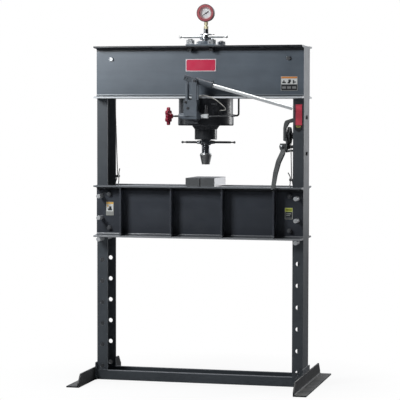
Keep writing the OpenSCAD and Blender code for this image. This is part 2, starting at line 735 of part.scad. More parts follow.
// Thin overflow tube from the fulcrum post down to the reservoir
// Each point moves with the post at the tube's start or with the reservoir at its end
drain_points = [[25.4, -179, 13], [36, -179, 15], [52, -180, 15], [76, -183, 12], [100, -185, 5],
    [122, -186, -7],
    [144, -185, -22], [162, -181, -38], [174, -176, -50], [179, -168, -59], [177, -158, -66],
    [168, -148, -69],
    [156, -138, -70], [144, -127, -70], [132.4, -115.4, -70]];
drain_n = len(drain_points) - 1;
drain_from = [ear_x + ear_w + 0.4, pump_y + 26] - [drain_points[0][0], drain_points[0][1]];
drain_to = [ram_x + 0.697 * (reservoir_r + 0.6), -0.717 * (reservoir_r + 0.6)]
    - [drain_points[drain_n][0], drain_points[drain_n][1]];
drain_route = [for (i = [0 : drain_n]) let (t = i / drain_n, d = (1 - t) * drain_from + t * drain_to)
    drain_points[i] + [d[0], d[1], head_z]];
module drain_tube() color([0.8, 0.78, 0.7]) bent_tube(drain_route, 2.5);

// Riser from the right fitting up between the head channels to the cylinder's cap
module quarter_bend(r) rotate([90, 0, 0]) rotate_extrude(angle = 90) translate([riser_bend, 0]) circle(r);
module gauge_tube() color("black") translate([0, riser_y, 0]) {
    translate([port_x + 15.3, 0, tube_z]) bar_x(gauge_tube_r, riser_x - riser_bend - port_x - 15.3);
    translate([riser_x - riser_bend, 0, tube_z + riser_bend]) mirror([0, 0, 1]) quarter_bend(gauge_tube_r);
    translate([riser_x, 0, tube_z + riser_bend])
        cylinder(r = gauge_tube_r, h = cap_port_z - tube_z - 2 * riser_bend);
    translate([riser_x - riser_bend, 0, cap_port_z - riser_bend]) quarter_bend(gauge_tube_r);
    translate([ram_x + barrel_r + 16.3, 0, cap_port_z])
        bar_x(gauge_tube_r, riser_x - riser_bend - ram_x - barrel_r - 16.3);
}

// ---- bed hoist ----

// Strap bent into a box: back plate on the column web, two arms and the outer upright
module winch_frame() color(charcoal) difference() {
    z0 = pinion_z - 34;
    z1 = winch_z + 92;
    web = winch_web_x - strap_t;
    union() {
        translate([web, -winch_strap / 2, winch_bolt_z[1] - 15])
            cube([strap_t, winch_strap, winch_bolt_z[0] - winch_bolt_z[1] + 30]);
        translate([0, winch_strap / 2, 0]) rotate([90, 0, 0]) linear_extrude(winch_strap) polygon([
            [web + overlap, winch_bolt_z[0] - 16], [web + overlap, winch_bolt_z[0] - 36],
            [winch_left + 70, z1 - 9],
            [winch_left + 32, z1 - 18], [winch_left + 14, z1 - 50], [winch_left + 14, pinion_z + 44],
            [winch_foot_x + strap_t, pinion_z + 38], [winch_foot_x + strap_t, z0 + 15],
            [web + overlap, z0 + 22],
            [web + overlap, z0 + 14], [winch_foot_x, z0], [winch_foot_x, pinion_z + 30],
            [winch_left, pinion_z + 36],
            [winch_left, z1 - 46], [winch_left + 4, z1 - 20], [winch_left + 12, z1 - 4],
            [winch_left + 60, z1 + 12],
            [winch_left + 72, z1 + 12]]);
        translate([winch_left + 8, 0, winch_z])
            bar_x(drum_shaft_r, winch_web_x - winch_left - 8 - overlap);
    }
    translate([winch_foot_x - overlap, 0, pinion_z]) bar_x(pinion_shaft_r + running, 200);
    for (z = winch_bolt_z) translate([web - overlap, 0, z]) bar_x(winch_bolt_r + 0.1, strap_t + 2 * overlap);
}

// Hexagon bolts: two through the right column's web and two in the pump's face
module hex_bolts() color(charcoal) {
    for (z = winch_bolt_z) translate([half_w, 0, z]) {
        rotate([0, 90, 0]) hex(19, 8);
        translate([-column_web_t - strap_t - 12, 0, 0]) bar_x(winch_bolt_r, column_web_t + strap_t + 13);
        translate([-column_web_t - strap_t - 10, 0, 0]) rotate([0, 90, 0]) hex(19, 10);
    }
    for (p = pump_screws) translate([p[0], pump_front, p[1]]) {
        rotate([90, 0, 0]) hex(13, 5);
        translate([0, -1, 0]) bar_y(5, 18);
    }
}

module winch_drum() color(iron_grey) translate([gear_x, 0, winch_z]) rotate([90, 0, 90]) difference() {
    union() {
        linear_extrude(gear_t) gear_2d(gear_teeth, 270 + 180 / gear_teeth);
        cylinder(r = drum_r, h = drum_len);
        translate([0, 0, drum_len - 6]) cylinder(r = drum_flange_r, h = 6);
    }
    translate([0, 0, -overlap]) cylinder(r = drum_shaft_r + running, h = 100);
}

module winch_pinion() color(steel) {
    translate([gear_x - 1, 0, pinion_z]) rotate([90, 0, 90]) linear_extrude(gear_t + 2)
        gear_2d(pinion_teeth, 90);
    translate([winch_foot_x - lever_hub, 0, pinion_z])
        bar_x(pinion_shaft_r, winch_web_x - winch_foot_x + lever_hub - strap_t - 0.5);
}

// Curved hand lever on the pinion shaft: a round boss, then a flat grip that narrows downwards
lever_reach = bed_y + beam_flange + 24;    // the grip hangs down in front of the bed
lever_hub = 36;                            // reach of the lever's hub from the upright
lever_route = [[-13.5, 0, 0], [-15, -0.18 * lever_reach, -38], [-28.5, -0.44 * lever_reach, -86],
    [-36, -0.72 * lever_reach, -151], [-39.5, -lever_reach, -236]];
lever_width = [24, 28, 28, 26, 22];
module grip_at(i) translate(lever_route[i]) rotate([0, 90, 0]) translate([0, 0, -lever_width[i] / 2])
    cylinder(r = 8, h = lever_width[i], $fn = 24);
module winch_lever() color([0.1, 0.1, 0.1]) translate([winch_foot_x, 0, pinion_z]) difference() {
    union() {
        translate([-lever_hub, 0, 0]) bar_x(19, lever_hub - 1);
        translate([-19.5, -22, 0]) bar_y(18, 40);
        for (i = [0 : 3]) hull() {
            grip_at(i);
            grip_at(i + 1);
        }
    }
    translate([-40, 0, 0]) bar_x(pinion_shaft_r + 0.05, 60);
}

module sheave() rotate([90, 0, 0]) translate([0, 0, -sheave_t / 2]) rotate_extrude() difference() {
    translate([sheave_pin_r + running, 0]) square([sheave_r + 5 - sheave_pin_r - running, sheave_t]);
    translate([sheave_r, sheave_t / 2]) circle(rope_r + 0.7);
    translate([sheave_r, sheave_t / 2 - rope_r - 0.7]) square([10, 2 * rope_r + 1.4]);
}
module left_sheave() color(steel) translate([-sheave_x, -rope_y, sheave_z]) sheave();
module right_sheave() color(steel) translate([sheave_x, -rope_y, sheave_z]) sheave();

// Bolts across the head that the sheaves turn on, with a spacer each side of the sheave
module sheave_pins() color(steel) for (s = [-1, 1]) translate([s * sheave_x, 0, sheave_z]) {
    face = half_d + beam_web_t;
    gap = sheave_t / 2 + 0.4;
    translate([0, -face - 1, 0]) bar_y(sheave_pin_r, 2 * face + 2);
    for (f = [0, 1]) mirror([0, f, 0]) translate([0, -face, 0]) rotate([90, 0, 0]) hex(22, 9);
    translate([0, -half_d, 0]) bar_y(sheave_spacer_r, half_d - rope_y - gap);
    translate([0, -rope_y + gap, 0]) bar_y(sheave_spacer_r, half_d + rope_y - gap);
}

left_clip = [14, bed_top + 50];            // how far the clip leans to the middle, and its height
right_clip = [4, bed_top + 40];
left_drop_top = [-sheave_x - sheave_r, -rope_y, sheave_z - 2 - seat];
left_drop_end = [-tie_bolt_x + left_clip[0], -rope_y, left_clip[1] + clip_h / 2 + seat];
module left_drop_rope() color(steel) bar_between(left_drop_end, left_drop_top, rope_r);

right_drop_top = [drop_drum_x, rope_y, winch_z];
right_drop_end = [tie_bolt_x - right_clip[0], rope_y, right_clip[1] + clip_h / 2 + seat];
module right_drop_rope() color(steel) bar_between(right_drop_end, right_drop_top, rope_r);

// Rope round the bottom of the drum and up from its front, over the right sheave and across to the left one
module upper_rope() color(steel) {
    over_right = [for (a = [0 : 22.5 : 90])
        [sheave_x + sheave_r * cos(a), -rope_y, sheave_z + sheave_r * sin(a)]];
    over_left = [for (a = [90 : 22.5 : 180])
        [-sheave_x + sheave_r * cos(a), -rope_y, sheave_z + sheave_r * sin(a)]];
    drum_turn = [for (a = [-10 : -17 : -180])
        [sheave_x + sheave_r, rope_y * cos(a), winch_z + rope_reach * sin(a)]];
    drop = [-sheave_x - sheave_r, -rope_y, sheave_z - 2];
    bent_tube(concat(drum_turn, over_right, over_left, [drop]), rope_r, [0.3, -1, 0]);
}

// ---- bed ----

module bed_channel() difference() {
    translate([-half_w, bed_y, bed_z]) along_x(overall_w) beam_2d();
    for (s = [-1, 1]) {
        for (i = [0, 1]) translate([s * hole_x, bed_y - overlap, row_z(i)])
            bar_y(pin_d / 2 + 0.3, beam_web_t + 2 * overlap);
        for (z = tie_bolt_rise) translate([s * tie_bolt_x, bed_y - overlap, bed_z + z])
            bar_y(tie_bolt_r + 0.3, beam_web_t + 2 * overlap);
    }
}
module rear_bed_channel() color(charcoal) bed_channel();
module front_bed_channel() color(charcoal) mirror([0, 1, 0]) bed_channel();

module bed_ribs() color(charcoal) for (side = [0, 1], i = [-1.5 : 1.5]) mirror([0, side, 0])
    translate([i * rib_pitch - rib_t / 2, bed_y, bed_z]) along_x(rib_t) difference() {
        square([rib_depth, beam_h]);
        beam_2d();
    }

// Tie bolts with their spacer tubes, washers and nuts
module bed_tie_bolts() color(steel) for (s = [-1, 1], z = tie_bolt_rise)
    translate([s * tie_bolt_x, 0, bed_z + z]) {
    translate([0, -bed_y, 0]) bar_y(spacer_r, 2 * bed_y);
    translate([0, bed_face - 20, 0]) bar_y(tie_bolt_r, -2 * bed_face + 40);
    for (f = [0, 1]) mirror([0, f, 0]) {
        translate([0, bed_face - 3, 0]) bar_y(tie_washer_r, 3);
        translate([0, bed_face - 3, 0]) rotate([90, 0, 0]) hex(tie_nut_af, tie_nut_h);
    }
}

module bed_pins() color(steel) for (s = [-1, 1], i = [0 : 2])
    translate([s * hole_x, -pin_len / 2, row_z(i)]) {
    bar_y(pin_d / 2, pin_len - 3);
    translate([0, pin_len - 3, 0]) rotate([-90, 0, 0]) cylinder(r1 = pin_d / 2, r2 = pin_d / 2 - 3, h = 3);
}

// Eye of each rope round the upper tie bolt's spacer, the clip that closes it and the loose tail
eye_r = spacer_r + rope_r + seat;
eye_z = bed_z + tie_bolt_rise[1];
left_tail = [[8, 0, 16], [9, 0, 28], [13, 0, 46]];
right_tail = [[8, 0, 16], [13, 0, 28], [21, 0, 42]];
module rope_clip(clip, tail) {
    up = [clip[0], 0, clip[1]];
    eye_route = concat([up - [4, 0, 0], up - [5, 0, 14], [-eye_r, 0, eye_z + 14]],
        [for (a = [180 : 15 : 360]) [eye_r * cos(a), 0, eye_z + eye_r * sin(a)]],
        [[eye_r, 0, eye_z + 14], up + [8, 0, -14], up + [7, 0, 0]]);
    bent_tube(concat(eye_route, [for (p = tail) p + up]), rope_r, [0, 1, 0]);
    translate(up - [11, 7, clip_h / 2]) cube([24, 14, clip_h]);
}
module rope_clips() color(steel) {
    translate([-tie_bolt_x, -rope_y, 0]) rope_clip(left_clip, left_tail);
    translate([tie_bolt_x, rope_y, 0]) mirror([1, 0, 0]) rope_clip(right_clip, right_tail);
}

module press_blocks() color([0.34, 0.35, 0.36]) for (s = [-1, 1])
    translate([ram_x + s * (block_w + block_gap) / 2 - block_w / 2, -block_len / 2, bed_top])
        cube([block_w, block_len, block_h]);

left_column();
right_column();
front_head_channel();
rear_head_channel();
base_tie();
left_foot();
right_foot();
sheave_pins();
top_plate();
plate_bolts();
plate_nuts();
reservoir();
press_cylinder();
gland_bush();
pump_body();
fulcrum_pin();
pump_plunger();
pump_lever();
pump_handle();
valve_wheel();
valve_stem();
tube_fittings();
check_valve();
pressure_tube();
drain_tube();
gauge_tube();
gauge_stem();
gauge_neck();
gauge_case();
gauge_bezel();
gauge_dial();
gauge_needle();
gauge_lens();
name_plate();
head_label();
bed_labels();
red_tag();
winch_frame();
hex_bolts();
winch_drum();
winch_pinion();
winch_lever();
left_sheave();
right_sheave();
left_drop_rope();
right_drop_rope();
upper_rope();
front_bed_channel();
rear_bed_channel();
bed_ribs();
bed_tie_bolts();
bed_pins();
rope_clips();
press_blocks();
ram();
return_spring();
adjusting_screw();
ram_nose();
lower_bar();
top_hub();
top_bar();
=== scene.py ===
"""Looks of the H-frame hand press: finishes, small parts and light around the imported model."""
import json
import math

import bmesh
import bpy
from mathutils import Matrix, Vector


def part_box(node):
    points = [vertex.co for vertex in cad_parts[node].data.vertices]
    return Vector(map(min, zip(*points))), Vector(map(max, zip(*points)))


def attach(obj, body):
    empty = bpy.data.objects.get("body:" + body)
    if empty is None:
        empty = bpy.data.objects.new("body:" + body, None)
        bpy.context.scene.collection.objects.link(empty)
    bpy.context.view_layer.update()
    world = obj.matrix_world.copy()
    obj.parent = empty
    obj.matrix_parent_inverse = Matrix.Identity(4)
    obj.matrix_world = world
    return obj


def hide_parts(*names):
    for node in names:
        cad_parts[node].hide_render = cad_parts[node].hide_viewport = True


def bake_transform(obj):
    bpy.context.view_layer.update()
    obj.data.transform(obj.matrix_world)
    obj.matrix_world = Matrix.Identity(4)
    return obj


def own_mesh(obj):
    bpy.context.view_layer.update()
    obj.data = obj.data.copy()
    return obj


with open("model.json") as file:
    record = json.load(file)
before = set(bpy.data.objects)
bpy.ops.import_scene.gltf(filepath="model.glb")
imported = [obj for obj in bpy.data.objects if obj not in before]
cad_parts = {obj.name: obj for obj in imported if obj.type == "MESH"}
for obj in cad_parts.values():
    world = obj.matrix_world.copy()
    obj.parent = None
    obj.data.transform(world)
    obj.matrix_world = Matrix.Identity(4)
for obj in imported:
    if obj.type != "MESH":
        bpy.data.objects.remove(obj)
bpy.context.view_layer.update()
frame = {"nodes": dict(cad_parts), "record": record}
nodes = frame["nodes"]

MM = 0.001
TURN = 2 * math.pi
X, Y, Z = Vector((1, 0, 0)), Vector((0, 1, 0)), Vector((0, 0, 1))
FRONT = Vector((0, -1, 0))


def centre_of(node):
    low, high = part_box(node)
    return (low + high) / 2


# ---- shader helpers ----

class Shading:
    """Short calls that add nodes to a material's or a group's tree and link them."""

    def __init__(self, tree):
        self.tree = tree

    def node(self, kind, links=None, **settings):
        """Adds a node, with its settings and then a value or a link for each socket named in links."""
        node = self.tree.nodes.new(kind)
        for name, value in settings.items():
            setattr(node, name, value)
        for socket, source in (links or {}).items():
            self.fill(node.inputs[socket], source)
        return node

    def fill(self, socket, source):
        """Links a socket to a source, or sets it where the source is a plain value."""
        if isinstance(source, bpy.types.NodeSocket):
            self.tree.links.new(source, socket)
        else:
            socket.default_value = source

    def feed(self, node, **values):
        """Fills a node's inputs by name, with _ for each space."""
        for label, value in values.items():
            self.fill(node.inputs[label.replace("_", " ")], value)

    def math(self, operation, a, b=0.0):
        return self.node("ShaderNodeMath", {0: a, 1: b}, operation=operation).outputs[0]

    def between(self, value, low, high):
        """1 where a value lies between two limits, 0 elsewhere."""
        above = self.math("GREATER_THAN", value, low)
        return self.math("MULTIPLY", above, self.math("LESS_THAN", value, high))

    def noise(self, scale, detail=3.0, rough=0.55, vector=None):
        links = {"Scale": scale, "Detail": detail, "Roughness": rough, "Vector": vector or self.place()}
        return self.node("ShaderNodeTexNoise", links).outputs["Fac"]

    def place(self):
        return self.node("ShaderNodeTexCoord").outputs["Object"]

    def split(self, vector):
        return self.node("ShaderNodeSeparateXYZ", {0: vector}).outputs

    def ramp(self, value, low, high, to_low=0.0, to_high=1.0):
        links = {"Value": value, "From Min": low, "From Max": high, "To Min": to_low, "To Max": to_high}
        return self.node("ShaderNodeMapRange", links, clamp=True).outputs[0]

    def mix(self, factor, a, b):
        """Mixes two colours, which are the node's inputs 6 and 7 and its output 2."""
        return self.node("ShaderNodeMix", {0: factor, 6: a, 7: b}, data_type="RGBA").outputs[2]

    def bump(self, height, strength, distance, rounded=0.0):
        links = {"Height": height, "Strength": strength, "Distance": distance}
        if rounded:
            links["Normal"] = self.node("ShaderNodeBevel", {"Radius": rounded}, samples=4).outputs[0]
        return self.node("ShaderNodeBump", links).outputs[0]

    def ray(self, *kinds):
        """Light Path value that is 1 on the rays of the given kinds."""
        path = self.node("ShaderNodeLightPath")
        total = path.outputs[kinds[0]]
        for kind in kinds[1:]:
            total = self.math("MAXIMUM", total, path.outputs[kind])
        return total

    def use(self, group, **values):
        """Places a node group and gives its inputs their values."""
        node = self.node("ShaderNodeGroup", node_tree=group)
        self.feed(node, **values)
        return node.outputs[0]

    def cover(self, base, fields):
        """Covers a base colour with flat fields, each (left, right, low, high, colour)."""
        for left, right, low, high, colour in fields:
            base = self.mix(self.use(FIELD, Left=left, Right=right, Low=low, High=high), base, rgb(*colour))
        return base


class Group(Shading):
    """A shader node group being built, with float inputs by name and one float output."""

    def __init__(self, name, inputs, output):
        super().__init__(bpy.data.node_groups.new(name, "ShaderNodeTree"))
        for label, value in inputs.items():
            socket = self.tree.interface.new_socket(label, in_out="INPUT", socket_type="NodeSocketFloat")
            socket.default_value = value
        self.tree.interface.new_socket(output, in_out="OUTPUT", socket_type="NodeSocketFloat")
        self.given = self.tree.nodes.new("NodeGroupInput").outputs
        self.result = self.tree.nodes.new("NodeGroupOutput").inputs[0]

    def finish(self, value):
        self.tree.links.new(value, self.result)
        return self.tree


def build_edge_wear_and_highlight():
    """Mask along convex edges, broken up by noise, for worn edges and painted edge highlights."""
    g = Group("edge wear", {"Radius": 0.003, "Amount": 0.5, "Break-up": 60.0}, "Mask")
    soft = g.node("ShaderNodeBevel", {"Radius": g.given["Radius"]}, samples=4).outputs[0]
    hard = g.node("ShaderNodeNewGeometry").outputs["Normal"]
    dot = g.node("ShaderNodeVectorMath", {0: soft, 1: hard}, operation="DOT_PRODUCT").outputs["Value"]
    edge = g.ramp(g.math("SUBTRACT", 1.0, dot), 0.01, 0.2)
    patches = g.noise(g.given["Break-up"], 6.0, 0.7)
    broken = g.ramp(g.math("ADD", patches, g.math("MULTIPLY", edge, 0.35)), 0.62, 0.75)
    return g.finish(g.math("MULTIPLY", g.math("MULTIPLY", edge, broken), g.given["Amount"]))


def build_dust():
    """Dust mask on faces that look up, in patches."""
    g = Group("settled dust", {"Amount": 0.3}, "Mask")
    up = g.split(g.node("ShaderNodeNewGeometry").outputs["Normal"])["Z"]
    patches = g.ramp(g.noise(9.0, 5.0, 0.65), 0.35, 0.7)
    return g.finish(g.math("MULTIPLY", g.math("MULTIPLY", g.ramp(up, 0.4, 1.0), patches), g.given["Amount"]))


def build_lines():
    """Fine lines from turning, drawing or rolling, stretched by a scale along each axis."""
    g = Group("machining lines", {"Along X": 1.0, "Along Y": 1.0, "Along Z": 1.0}, "Lines")
    scale = g.node("ShaderNodeCombineXYZ", {i: g.given[f"Along {a}"] for i, a in enumerate("XYZ")}).outputs[0]
    vector = g.node("ShaderNodeVectorMath", {0: g.place(), 1: scale}, operation="MULTIPLY").outputs[0]
    return g.finish(g.noise(1.0, 4.0, 0.6, vector))


def build_field():
    """1 inside a rectangle of the X-Z plane, 0 outside."""
    g = Group("printed field", {"Left": 0.0, "Right": 1.0, "Low": 0.0, "High": 1.0}, "Mask")
    at = g.split(g.place())
    inside = g.between(at["X"], g.given["Left"], g.given["Right"])
    level = g.between(at["Z"], g.given["Low"], g.given["High"])
    return g.finish(g.math("MULTIPLY", inside, level))


def build_radius():
    """Distance from an axis along Y."""
    g = Group("distance from axis", {"Centre X": 0.0, "Centre Z": 0.0}, "Distance")
    at = g.split(g.place())
    dx = g.math("SUBTRACT", at["X"], g.given["Centre X"])
    dz = g.math("SUBTRACT", at["Z"], g.given["Centre Z"])
    return g.finish(g.math("SQRT", g.math("ADD", g.math("MULTIPLY", dx, dx), g.math("MULTIPLY", dz, dz))))


EDGE_WEAR_AND_HIGHLIGHT = build_edge_wear_and_highlight()
DUST = build_dust()
LINES = build_lines()
FIELD = build_field()
RADIUS = build_radius()


# ---- finishes ----

def begin(name, metallic=0.0, rough=0.5, coat=0.0):
    """New material, the helper for its node tree, and its Principled BSDF."""
    material = bpy.data.materials.new(name)
    material.use_nodes = True
    s = Shading(material.node_tree)
    shader = material.node_tree.nodes["Principled BSDF"]
    s.feed(shader, Metallic=metallic, Roughness=rough, Coat_Weight=coat, Coat_Roughness=0.15)
    return material, s, shader


def rgb(*c):
    return (*c, 1.0)


def scaled(colour, factor):
    return rgb(*(min(1.0, c * factor) for c in colour))


def paint(name, colour, rough=0.4, coat=0.6, dust=0.12, tone=0.16, fields=()):
    """Gloss shop paint: rolled-steel streaks under it, slight orange peel, worn edges lightened also as a
    painted edge highlight, and dust on top.
    """
    material, s, shader = begin(name, coat=coat)
    streaks = s.use(LINES, Along_X=2.2, Along_Y=9.0, Along_Z=16.0)
    cloud = s.math("ADD", s.math("MULTIPLY", s.noise(3.0, 4.0, 0.6), 0.6), s.math("MULTIPLY", streaks, 0.4))
    base = s.mix(s.ramp(cloud, 0.35, 0.65), scaled(colour, 1 - tone), scaled(colour, 1 + tone))
    base = s.cover(base, fields)
    # Worn edges, lightened also as a painted edge highlight.
    base = s.mix(s.use(EDGE_WEAR_AND_HIGHLIGHT, Amount=0.5), base, rgb(0.3, 0.31, 0.33))
    dusty = s.use(DUST, Amount=dust)
    base = s.mix(dusty, base, rgb(0.25, 0.245, 0.235))
    smear = s.ramp(s.noise(14.0, 5.0, 0.6), 0.3, 0.7, rough - 0.05, rough + 0.08)
    s.feed(shader, Base_Color=base, Roughness=s.math("ADD", smear, s.math("MULTIPLY", dusty, 0.4)),
           Normal=s.bump(s.noise(420.0, 2.0, 0.5), 0.3, 0.0003, 0.0016))
    return material


def bare_steel(name, colour, rough=0.26, per_metre=(60, 60, 900), stain=0.25, bump=0.15, fields=()):
    """Machined or drawn steel, a little stained; per_metre is how close its lines lie along each axis."""
    material, s, shader = begin(name, metallic=1.0)
    lines = s.use(LINES, Along_X=per_metre[0], Along_Y=per_metre[1], Along_Z=per_metre[2])
    stains = s.ramp(s.noise(22.0, 6.0, 0.65), 0.45, 0.75, 0.0, stain)
    base = s.cover(s.mix(stains, rgb(*colour), scaled(colour, 0.4)), fields)
    s.feed(shader, Base_Color=base, Roughness=s.ramp(lines, 0.3, 0.7, rough - 0.08, rough + 0.12),
           Normal=s.bump(lines, bump, 0.0002, 0.001))
    return material


def cast(name, colour, worn, wear=0.5, fields=()):
    """Painted casting with a sandy skin and edges worn to a paler colour."""
    material, s, shader = begin(name)
    cloud = s.ramp(s.noise(7.0, 4.0, 0.6), 0.3, 0.7)
    base = s.cover(s.mix(cloud, scaled(colour, 0.8), scaled(colour, 1.2)), fields)
    base = s.mix(s.use(EDGE_WEAR_AND_HIGHLIGHT, Amount=wear), base, rgb(*worn))
    base = s.mix(s.use(DUST, Amount=0.1), base, rgb(0.28, 0.27, 0.26))
    sand = s.math("ADD", s.noise(700.0, 3.0, 0.6), s.math("MULTIPLY", s.noise(120.0, 2.0, 0.5), 0.8))
    s.feed(shader, Base_Color=base, Roughness=s.ramp(s.noise(30.0, 4.0, 0.6), 0.3, 0.7, 0.35, 0.55),
           Normal=s.bump(sand, 0.5, 0.0004, 0.002))
    return material


def plated(name, colour, metallic=0.4):
    """Zinc plate, milky over bright steel, with drawn lines and a little staining."""
    material, s, shader = begin(name, metallic=metallic)
    stains = s.ramp(s.noise(22.0, 5.0, 0.6), 0.45, 0.75, 0.0, 0.25)
    lines = s.use(LINES, Along_X=60.0, Along_Y=400.0, Along_Z=400.0)
    s.feed(shader, Base_Color=s.mix(stains, rgb(*colour), scaled(colour, 0.6)),
           Roughness=s.ramp(lines, 0.3, 0.7, 0.22, 0.4), Normal=s.bump(lines, 0.1, 0.0002, 0.001))
    return material


def gloss(name, colour, rough=0.25, tone=0.1, coat=0.3, fields=(), rounded=0.001):
    """Gloss enamel, plastic or film with faint mottling."""
    material, s, shader = begin(name, coat=coat)
    mottle = s.ramp(s.noise(12.0, 4.0, 0.6), 0.3, 0.7)
    base = s.mix(mottle, scaled(colour, 1 - tone), scaled(colour, 1 + tone))
    s.feed(shader, Base_Color=s.cover(base, fields),
           Roughness=s.ramp(s.noise(35.0, 3.0), 0.3, 0.7, rough - 0.06, rough + 0.08),
           Normal=s.bump(s.noise(250.0, 2.0), 0.08, 0.0002, rounded))
    return material


WHITE, INK = (0.72, 0.72, 0.7), (0.02, 0.02, 0.022)
PRINT_GREY, RULE_GREY = (0.25, 0.25, 0.25), (0.4, 0.41, 0.38)
ORANGE, AMBER = (0.72, 0.27, 0.06), (0.75, 0.42, 0.07)
LIME, MUSTARD = (0.5, 0.55, 0.06), (0.4, 0.33, 0.06)
BED_LABEL_WIDTH = 46 * MM
LEFT_LABEL_HEIGHT, RIGHT_LABEL_HEIGHT = 80 * MM, 66 * MM


def fields_in(left, low, width, height, parts):
    """Turns fields given as shares of a label's width and height into lengths."""
    return [(left + a * width, left + b * width, low + c * height, low + d * height, colour)
            for a, b, c, d, colour in parts]


def printed(name, node, colour, parts, **gloss_values):
    """Enamelled or printed plate, its parts being fields given as shares of the node's box."""
    low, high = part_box(node)
    fields = fields_in(low.x, low.z, high.x - low.x, high.z - low.z, parts)
    return gloss(name, colour, fields=fields, **gloss_values)


def name_plate_finish():
    """Red field with a pale edge."""
    red = (0.022, 0.978, 0.055, 0.945, (0.64, 0.02, 0.075))
    return printed("name plate", "name_plate", (0.75, 0.68, 0.7), [red], rough=0.35, tone=0.03, coat=0.4)


def head_label_finish():
    """Orange strip over three pictures in ink, with a grey box of print under each."""
    ground = [(0.02, 0.98, 0.02, 0.44, INK), (0.02, 0.98, 0.44, 0.84, WHITE),
              (0.02, 0.98, 0.86, 0.98, ORANGE)]
    pictures = [(0.08, 0.3, 0.52, 0.62, INK), (0.14, 0.22, 0.62, 0.72, INK), (0.4, 0.56, 0.5, 0.6, INK),
                (0.45, 0.6, 0.6, 0.78, INK), (0.72, 0.8, 0.5, 0.74, INK), (0.8, 0.9, 0.56, 0.64, INK)]
    print_boxes = [(0.08, 0.3, 0.14, 0.3, PRINT_GREY), (0.38, 0.6, 0.14, 0.3, PRINT_GREY),
                   (0.68, 0.92, 0.14, 0.3, PRINT_GREY)]
    return printed("head label", "head_label", (0.5, 0.5, 0.48), ground + pictures + print_boxes,
                   rough=0.4, tone=0.05, coat=0.3)


def bed_label_finish():
    """Amber and white label at the bed's left end, lime and black label at its right end."""
    low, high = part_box("bed_labels")
    left = [(0.03, 0.97, 0.84, 0.98, AMBER), (0.06, 0.94, 0.3, 0.84, WHITE), (0.25, 0.8, 0.36, 0.5, INK),
            (0.4, 0.72, 0.5, 0.66, INK), (0.12, 0.32, 0.62, 0.78, AMBER),
            (0.06, 0.94, 0.03, 0.28, (0.3, 0.3, 0.28))]
    right = [(0.03, 0.97, 0.66, 0.98, LIME), (0.12, 0.88, 0.76, 0.86, (0.12, 0.13, 0.03)),
             (0.06, 0.94, 0.04, 0.64, (0.03, 0.032, 0.036)), (0.16, 0.8, 0.44, 0.5, RULE_GREY),
             (0.16, 0.66, 0.3, 0.35, RULE_GREY), (0.06, 0.94, 0.12, 0.15, (0.2, 0.21, 0.22))]
    fields = fields_in(low.x, high.z - LEFT_LABEL_HEIGHT, BED_LABEL_WIDTH, LEFT_LABEL_HEIGHT, left)
    fields += fields_in(high.x - BED_LABEL_WIDTH, low.z, BED_LABEL_WIDTH, RIGHT_LABEL_HEIGHT, right)
    return gloss("bed labels", (0.42, 0.42, 0.38), rough=0.42, tone=0.05, coat=0.2, fields=fields)


def tag_finish():
    """Red film with painted shade along its left edge, and yellow bars on its black foot."""
    foot = [(0.0, 1.0, 0.0, 0.235, INK), (0.24, 0.76, 0.15, 0.17, MUSTARD),
            (0.16, 0.84, 0.2, 0.215, (0.45, 0.37, 0.07)), (0.2, 0.3, 0.17, 0.2, MUSTARD),
            (0.7, 0.8, 0.17, 0.2, MUSTARD)]
    painted_shade_edge = [(0.0, 0.16, 0.235, 1.0, (0.2, 0.05, 0.07))]
    return printed("red tag", "red_tag", (0.66, 0.06, 0.095), foot + painted_shade_edge,
                   rough=0.4, tone=0.08, coat=0.2)


def dial_finish():
    """White dial with a pink rim, an arc, a long line at each main division and short ones between."""
    centre = centre_of("gauge_dial")
    division, scale_end = math.radians(24.4), math.radians(123)
    arc_radius, arc_width = 31 * MM, 0.8 * MM
    black = rgb(0.03, 0.03, 0.03)
    material, s, shader = begin("gauge dial")
    at = s.split(s.place())
    away = s.use(RADIUS, Centre_X=centre.x, Centre_Z=centre.z)
    angle = s.math("ARCTAN2", s.math("SUBTRACT", at["X"], centre.x), s.math("SUBTRACT", at["Z"], centre.z))
    turn = s.math("MULTIPLY", angle, 1 / division)
    on_scale = s.math("LESS_THAN", s.math("ABSOLUTE", angle), scale_end)
    base = s.mix(s.ramp(away, 24 * MM, 33 * MM), rgb(1.0, 0.99, 0.97), rgb(0.9, 0.5, 0.5))
    for per_division, width, inner in ((1, 0.07, 24 * MM), (5, 0.16, 27 * MM)):
        share = s.math("FRACT", s.math("ADD", s.math("MULTIPLY", turn, per_division), 0.5))
        aside = s.math("ABSOLUTE", s.math("SUBTRACT", share, 0.5))
        line = s.math("MULTIPLY", s.math("LESS_THAN", aside, width / 2), s.between(away, inner, arc_radius))
        base = s.mix(s.math("MULTIPLY", line, on_scale), base, black)
    arc = s.between(away, arc_radius, arc_radius + arc_width)
    base = s.mix(s.math("MULTIPLY", arc, on_scale), base, black)
    s.feed(shader, Base_Color=base, Roughness=s.ramp(s.noise(60.0, 3.0), 0.3, 0.7, 0.34, 0.48))
    return material


def bezel_finish():
    """Red enamel with a darker outer rim."""
    centre = centre_of("gauge_bezel")
    material, s, shader = begin("gauge bezel", rough=0.3, coat=0.4)
    away = s.use(RADIUS, Centre_X=centre.x, Centre_Z=centre.z)
    red = s.mix(s.ramp(s.noise(20.0, 3.0), 0.3, 0.7), rgb(0.34, 0.06, 0.075), rgb(0.44, 0.09, 0.1))
    s.feed(shader, Base_Color=s.mix(s.ramp(away, 46 * MM, 50 * MM), red, rgb(0.06, 0.02, 0.025)),
           Normal=s.bump(s.noise(250.0, 2.0), 0.06, 0.0002, 0.0012))
    return material


